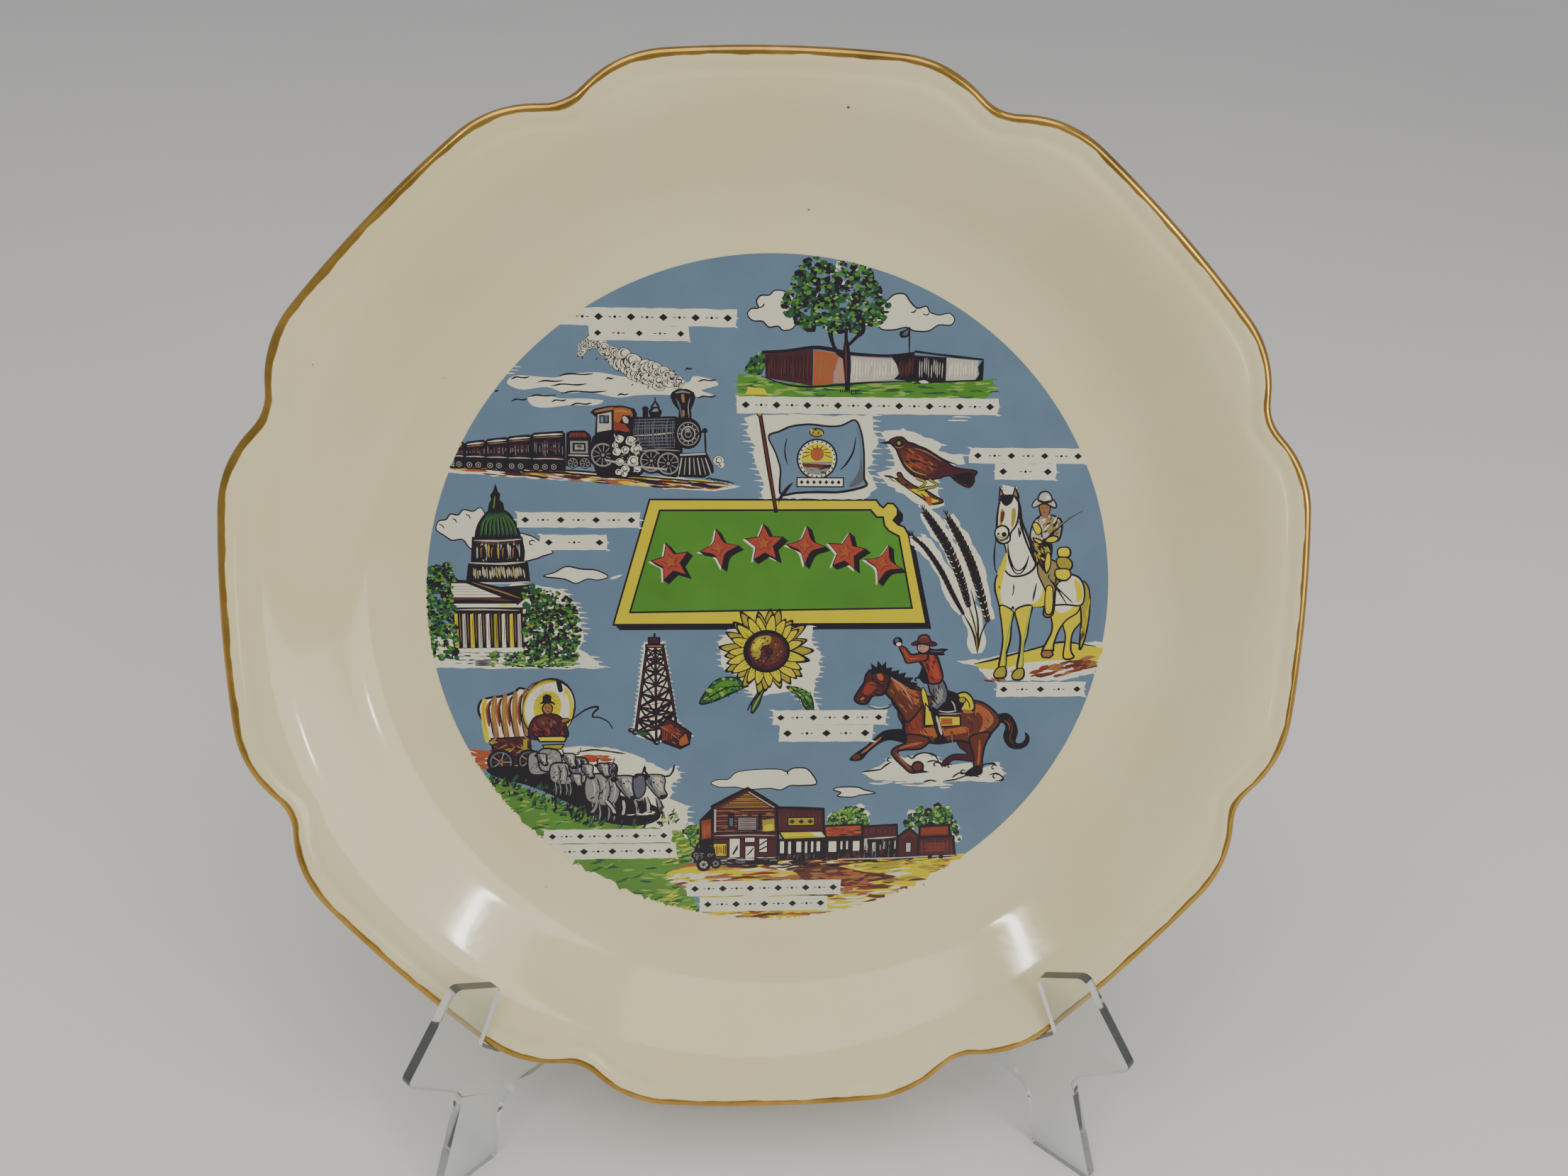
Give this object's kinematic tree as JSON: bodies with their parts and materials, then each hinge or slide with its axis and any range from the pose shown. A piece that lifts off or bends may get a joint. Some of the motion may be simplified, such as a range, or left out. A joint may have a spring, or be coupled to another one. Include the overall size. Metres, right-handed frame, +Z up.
{
  "type": "souvenir plate on a folding easel",
  "caption": "Glazed souvenir plate with a scalloped gilt edge and a printed picture in its well, leaning on a clear folding easel.",
  "frame": {"origin": "on the table, under the centre of the object's box, so z=0 is what the easel's feet stand on", "axes": "+Z up, the plate's printed face looks towards -Y, X runs across the plate"},
  "size_m": [0.2312, 0.0906, 0.2391],
  "materials": {
    "glaze": "glossy ivory glaze",
    "gilt": "bright fired gold line",
    "enamel_blue": "glossy fired enamel, dusty blue",
    "enamel_green": "glossy fired enamel, leaf green",
    "enamel_white": "glossy bare glaze",
    "enamel_black": "glossy fired enamel, warm black",
    "enamel_brown": "glossy fired enamel, red-brown",
    "enamel_yellow": "glossy fired enamel, yellow",
    "enamel_red": "glossy fired enamel, brick red",
    "clear_plastic": "clear polished sheet"
  },
  "bodies": {
    "stand_left": {"easel_wing_left": "clear_plastic", "hinge_pin": "clear_plastic"},
    "stand_right": {"easel_wing_right": "clear_plastic"},
    "plate": {"plate_body": "glaze", "gilt_edge": "gilt", "print_sky": "enamel_blue", "print_ground": "enamel_green", "print_clouds": "enamel_white", "print_locomotive": "enamel_black", "print_museum": "enamel_brown", "print_capitol": "enamel_green", "print_flag": "enamel_blue", "print_map": "enamel_green", "print_bird": "enamel_brown", "print_wheat": "enamel_black", "print_trooper": "enamel_white", "print_sunflower": "enamel_yellow", "print_derrick": "enamel_black", "print_wagon": "enamel_yellow", "print_rider": "enamel_red", "print_town": "enamel_red", "print_labels": "enamel_white"}
  },
  "joints": [
    {"name": "plate_lift", "type": "slide", "parent": "stand_left", "child": "plate", "axis": [0, 0.2419, 0.9703], "range_m": [0, 0.3]},
    {"name": "wing_fold", "type": "hinge", "parent": "stand_left", "child": "stand_right", "pos_m": [0, 0.03225, 0.07], "axis": [0, 0, -1], "range_deg": [0, 90]}
  ],
  "couplings": [
    {"joint": "wing_fold", "follows": "plate_lift", "rad_per_m": 5.235}
  ]
}
